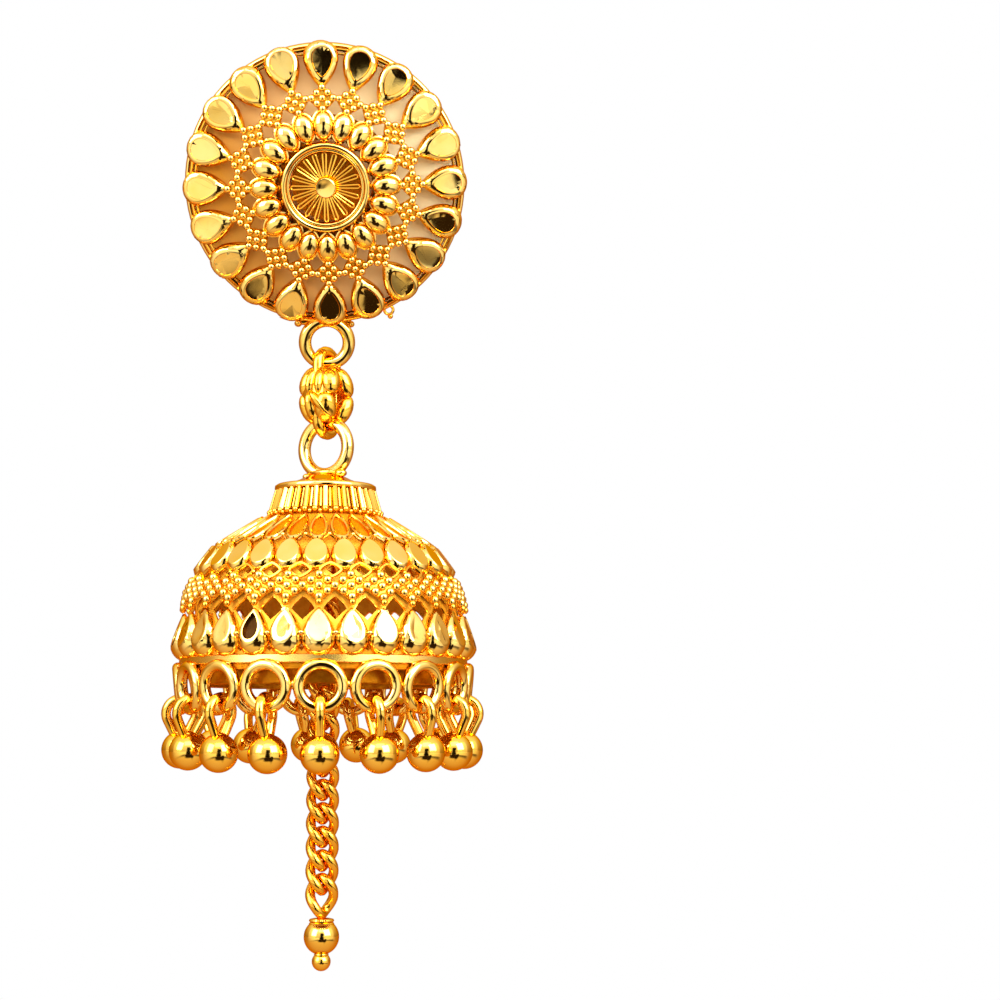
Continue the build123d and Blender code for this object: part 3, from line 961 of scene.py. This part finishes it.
# %% Chain
chain_low, chain_high = (corner.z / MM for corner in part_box("drop_chain"))
CURB_WIRE, LINK_WIDTH, LINK_PITCH, LINK_PLAY, LINK_TWIST = 0.43, 2.0, 1.98, 0.12, -58.0
link_half = LINK_PITCH / 2 + CURB_WIRE + LINK_PLAY
links = round((chain_high - chain_low - 0.5) / LINK_PITCH)
curb = []
for angle in turns(0, 40):
    x, y = LINK_WIDTH / 2 * cos(radians(angle)), link_half * sin(radians(angle))
    twist = radians(LINK_TWIST) * y / link_half
    curb.append((x * cos(twist), x * sin(twist), y))
bm = bmesh.new()
curb_link = wire(curb, CURB_WIRE, roundness=3)
chain_face = turned(12, "Z")
for number in range(links):
    height = chain_low + link_half + CURB_WIRE * 0.6 + number * LINK_PITCH
    stamp(bm, curb_link, moved(0, hang.y, height) @ chain_face)
chain = finish_piece("curb_chain", bm, "bell", wire_gold)
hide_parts("drop_chain")
print("chain links:", links)

# %% Chain end
bm = bmesh.new()
end_line = [(0.0, -62.66), (0.75, -62.7), (1.0, -62.76), (1.08, -62.9), (0.98, -63.02),
            (1.08, -63.14), (1.05, -63.28), (0.9, -63.4), (0.0, -63.45)]
lathe(bm, end_line, BELL_MIDDLE, steps=40)
ball(bm, 1.5, moved(0, hang.y, -64.25), around=44, rows=30)
ball(bm, (0.62, 0.62, 0.3), moved(0, hang.y, -65.72), around=20, rows=10)
ball(bm, 0.8, moved(0, hang.y, -66.3), around=32, rows=20)
end = finish_piece("chain_tip", bm, "bell", ball_gold)
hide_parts("chain_end")

# %% [markdown]
# ## Studio
# Gold looks like its surroundings. The room is a white tent, brighter overhead and in front,
# with a bright lamp and a wide dim one at each side, and one lamp high up. The dark marks that
# give polished metal its shape come from the camera on its stand, drawn on a black card, and
# from dark marks on the floor.

# %% World
world = bpy.data.worlds.new("tent")
bpy.context.scene.world = world
room = Recipe(world)
_, depth, sky = room.parts(room.node("TexCoord", out=0))
camera_ray = room.node("LightPath", out=0)
facing_light = ((0.25 - depth) * 1.1).clamped()
overhead = (sky * 1.3).clamped()
glow = facing_light * 0.5 + overhead * 0.7 + 0.38
warmth = ((glow - 0.55) * 2.4).clamped()
cloth_tone = room.blend(warmth, (1.0, 0.66, 0.32, 1), (1.0, 0.97, 0.90, 1))
tent_tone = room.node("VectorMath", {"operation": "SCALE"}, {0: cloth_tone, "Scale": glow})
tent = room.node("Background", sockets={"Color": tent_tone, "Strength": 1.0})
plain = room.node("Background", sockets={"Color": (1, 1, 1, 1), "Strength": 1.0})
both = room.node("MixShader", sockets={0: camera_ray, 1: tent, 2: plain})
room.node("OutputWorld", sockets={"Surface": both})

# %% Lamps and the dark card
HEART = Vector((0, 0.0045, -0.040))
LAMP_DISTANCE = 0.6
CARD_PLACE = (0, -0.181, -0.050)


def toward(place, target):
    """A matrix at a place whose -Z looks at a target."""
    way_there = Vector(target) - Vector(place)
    return Matrix.Translation(place) @ way_there.to_track_quat("-Z", "Y").to_matrix().to_4x4()


def lamp_place(azimuth, elevation):
    """A point seen from the bell: azimuth to the right of the camera, then up."""
    a, e = radians(azimuth), radians(elevation)
    return HEART + LAMP_DISTANCE * Vector((sin(a) * cos(e), -cos(a) * cos(e), sin(e)))


def soft_box(name, azimuth, elevation, wide, high, radiance):
    """A lamp that fills so many degrees, wide and high, and looks at the bell."""
    light = bpy.data.lights.new(name, "AREA")
    light.shape = "RECTANGLE"
    light.size = 2 * LAMP_DISTANCE * tan(radians(wide / 2))
    light.size_y = 2 * LAMP_DISTANCE * tan(radians(high / 2))
    light.energy = radiance * pi * light.size * light.size_y
    lamp = bpy.data.objects.new(name, light)
    bpy.context.collection.objects.link(lamp)
    lamp.matrix_world = toward(lamp_place(azimuth, elevation), HEART)
    lamp.visible_camera = False
    return lamp


def camera_shadow():
    """The camera on its stand, as a black card with soft edges. It isn't seen itself."""
    paint = bpy.data.materials.new("card_black")
    recipe = Recipe(paint)
    x, _, z = recipe.parts(recipe.node("TexCoord", out=3))
    low = ((-0.035 - z) * 16).clamped()
    stand = x.band(0.006, 0.018 + low * 0.022, 0.024) * z.band(-0.085, 0.062, 0.020)
    body = x.band(0.014, 0.030, 0.014) * z.band(0.004, 0.021, 0.010)
    dark = recipe.node("BsdfDiffuse", sockets={"Color": (0.010, 0.006, 0.003, 1)})
    clear = recipe.node("BsdfTransparent")
    cover = (stand + body).clamped()
    recipe.node("OutputMaterial", sockets={
        "Surface": recipe.node("MixShader", sockets={0: cover, 1: clear, 2: dark})})
    bm = bmesh.new()
    bmesh.ops.create_grid(bm, x_segments=1, y_segments=1, size=0.09,
                          matrix=Matrix.Translation(CARD_PLACE) @ turned(90, "X"))
    mesh = taken(bm)
    mesh.materials.append(paint)
    sheet = bpy.data.objects.new("camera_and_stand", mesh)
    bpy.context.collection.objects.link(sheet)
    sheet.visible_camera = False
    sheet.visible_diffuse = False
    sheet.visible_shadow = False


camera_shadow()
soft_box("right_tent", 54, 18, 66, 60, 0.35)
soft_box("right_lamp", 42, 28, 38, 36, 9.0)
soft_box("left_tent", -68, 20, 54, 50, 0.35)
soft_box("left_lamp", -52, 27, 34, 40, 7.0)
soft_box("high_lamp", 6, 48, 44, 24, 2.8)
plate_fill = soft_box("plate_fill", 6, 5, 60, 18, 7.5)
plate_fill.visible_glossy = False  # it only lifts the matt plate behind the openwork

# %% [markdown]
# The floor is white cloth to the camera. To the gold, and to the light bounced onto the earring,
# it is a painted glow instead: brighter on the side towards the lamps, darker and warmer close to
# the earring, and with three dark marks: a bow round the left of the earring's foot, a strip to
# the right, and the foot of the stand.

# %% Floor
FLOOR_PLACE, FLOOR_RADIUS = (0, 0.0045, -0.100), 1.6
STRIP_WAY = (0.803, 0.595)  # the way across the dark strip
bm = bmesh.new()
bmesh.ops.create_circle(bm, cap_ends=True, segments=64, radius=FLOOR_RADIUS,
                        matrix=Matrix.Translation(FLOOR_PLACE))
floor_mesh = taken(bm)
floor_paint = bpy.data.materials.new("floor_paint")
cloth = Recipe(floor_paint)
floor_place = cloth.node("TexCoord", out=3)
far_off = cloth.node("VectorMath", {"operation": "LENGTH"}, {0: floor_place}, out=1)
x, y, _ = cloth.parts(floor_place)
flat_place = cloth.node("VectorMath", {"operation": "MULTIPLY"}, {0: floor_place, 1: (1, 1, 0)})
from_foot = cloth.node("VectorMath", {"operation": "LENGTH"}, {0: flat_place}, out=1)
bow = from_foot.band(0.128, 0.018, 0.032)
bow = bow * ((0.03 - y) * 20).clamped() * ((x + 0.110) * 25).clamped() * 0.8
strip = (x * STRIP_WAY[0] + y * STRIP_WAY[1] + 0.030).band(0.0, 0.015, 0.013)
strip = strip * ((x - 0.010) * 50).clamped() * ((0.125 - x) * 30).clamped()
stand_foot = x.band(0.006, 0.026, 0.022) * y.band(-0.130, 0.062, 0.016)
darkness = (bow + strip + stand_foot).clamped()
camera_ray = cloth.node("LightPath", out=0)
matt = cloth.node("BsdfDiffuse", sockets={"Color": (0.88, 0.86, 0.83, 1)})
white = cloth.node("Emission", sockets={"Color": (1, 1, 1, 1), "Strength": 1.0})
# painted light: the floor's glow is brighter towards the lamps and darker and warmer close to the
# earring
to_lamps = ((0.25 - y / far_off) * 1.1).clamped()
near = cloth.blend(to_lamps, (0.30, 0.15, 0.05, 1), (0.46, 0.36, 0.22, 1))
beyond = cloth.blend(to_lamps, (0.24, 0.13, 0.05, 1), (0.60, 0.58, 0.54, 1))
bright = cloth.blend(((far_off - 0.118) * 14).clamped(), near, beyond)
painted_floor_glow = cloth.node("Emission", sockets={
    "Color": cloth.blend(darkness, bright, (0.012, 0.006, 0.002, 1)), "Strength": 2.3})
seen = cloth.node("MixShader", sockets={0: ((far_off - 0.11) * 8.0).clamped(), 1: matt,
                                        2: white})
faded = cloth.node("MixShader", sockets={0: camera_ray, 1: painted_floor_glow, 2: seen})
cloth.node("OutputMaterial", sockets={"Surface": faded})
floor_mesh.materials.append(floor_paint)
floor = bpy.data.objects.new("floor", floor_mesh)
bpy.context.collection.objects.link(floor)

# %% [markdown]
# ## Camera
# The camera stands low and close, a little under the rim of the bell, and looks slightly up.
# It is turned a few degrees to the right, so that the earring stands in the left half.

# %% Camera
CAMERA = Vector((0.0, -176.6, -47.35))
PITCH, PAN = 6.4, 4.78
SENSOR_WIDTH, FOCAL_LENGTH = 36.0, 75.6
lens = bpy.data.cameras.new("camera")
lens.sensor_width = SENSOR_WIDTH
lens.lens = FOCAL_LENGTH
lens.clip_start = 0.01
camera = bpy.data.objects.new("camera", lens)
bpy.context.collection.objects.link(camera)
camera.matrix_world = (Matrix.Translation(CAMERA * MM) @ turned(-PAN, "Z")
                       @ turned(90 + PITCH, "X"))
bpy.context.scene.camera = camera
bpy.context.scene.view_settings.view_transform = "Standard"
